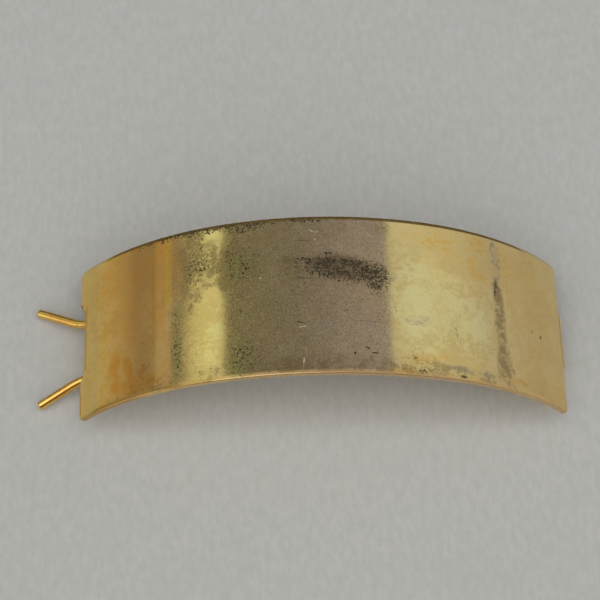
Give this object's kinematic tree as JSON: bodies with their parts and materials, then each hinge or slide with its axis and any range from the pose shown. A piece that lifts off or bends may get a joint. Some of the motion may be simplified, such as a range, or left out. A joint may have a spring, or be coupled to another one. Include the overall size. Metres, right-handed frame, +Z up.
{
  "type": "barrette",
  "caption": "Arched gilt metal hair barrette with a rolled hinge, a folded catch and a springy wire clasp that is pinched to open.",
  "frame": {"origin": "on the surface the barrette stands on, under the middle of its box", "axes": "+X along the barrette from catch to hinge, +Y across it towards the rear leg, +Z up through the crown of the arch"},
  "size_m": [0.0877, 0.0294, 0.0215],
  "materials": {
    "gilt_plate": "polished gilt, tarnished and scratched",
    "gilt_wire": "bright gilt"
  },
  "bodies": {
    "plate": {"face_plate": "gilt_plate", "hinge_knuckle": "gilt_plate", "catch_tab": "gilt_plate"},
    "clasp": {"wire_hinge_bar": "gilt_wire"},
    "rear_leg": {"wire_leg_rear": "gilt_wire"},
    "front_leg": {"wire_leg_front": "gilt_wire"}
  },
  "joints": [
    {"name": "clasp_swing", "type": "hinge", "parent": "plate", "child": "clasp", "pos_m": [0.04201, 0, 0.00181], "axis": [0, -1, 0], "range_deg": [0, 100]},
    {"name": "rear_leg_pinch", "type": "hinge", "parent": "clasp", "child": "rear_leg", "pos_m": [0.04089, 0.00615, 0.00223], "axis": [0, 0, 1], "range_deg": [-0.3, 0.8], "stiffness_Nm_per_rad": 0.45, "springref_deg": -0.3},
    {"name": "front_leg_pinch", "type": "hinge", "parent": "clasp", "child": "front_leg", "pos_m": [0.04089, -0.00615, 0.00223], "axis": [0, 0, 1], "range_deg": [-0.8, 0.3], "stiffness_Nm_per_rad": 0.45, "springref_deg": 0.3}
  ],
  "couplings": [
    {"joint": "front_leg_pinch", "follows": "rear_leg_pinch", "ratio": -1}
  ]
}
